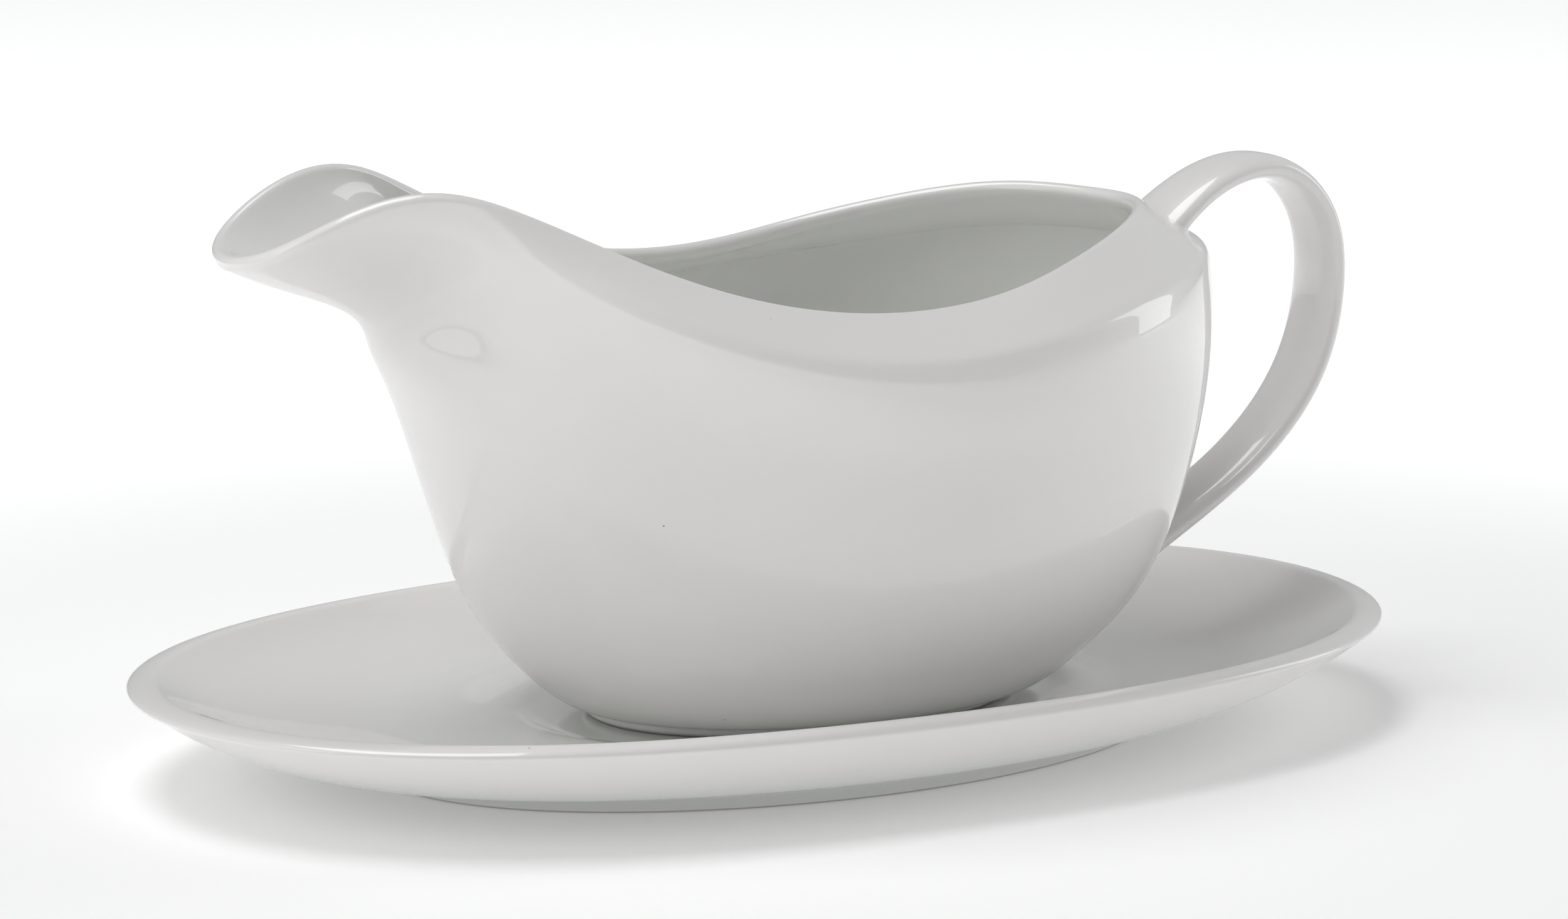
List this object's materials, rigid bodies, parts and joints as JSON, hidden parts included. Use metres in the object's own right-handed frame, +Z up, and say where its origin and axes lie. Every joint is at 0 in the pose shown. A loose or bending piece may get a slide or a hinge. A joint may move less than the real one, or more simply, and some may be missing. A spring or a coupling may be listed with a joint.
{
  "type": "gravy boat",
  "caption": "Glazed white gravy boat with a long flared spout and a strap loop handle, standing loose in the ringed well of an oval saucer.",
  "frame": {"origin": "centre of the saucer's foot ring, on the surface that the saucer stands on", "axes": "+Z up, +X towards the handle along the saucer's length, -X towards the spout, +Y across"},
  "size_m": [0.2398, 0.1446, 0.1059],
  "materials": {
    "boat_glaze": "smooth glossy clear glaze over white porcelain, with faint waves in it",
    "handle_glaze": "smooth glossy clear glaze over white porcelain",
    "saucer_glaze": "smooth glossy clear glaze over white porcelain, with faint waves in it",
    "bare_porcelain": "matt bare fired porcelain, sanded smooth"
  },
  "bodies": {
    "saucer": {"saucer": "saucer_glaze", "saucer_foot_rim": "bare_porcelain"},
    "boat": {"boat_body": "boat_glaze", "handle": "handle_glaze", "boat_foot_rim": "bare_porcelain"}
  },
  "joints": [
    {"name": "boat_lift", "type": "slide", "parent": "saucer", "child": "boat", "axis": [0, 0, 1], "range_m": [0, 0.13]}
  ]
}
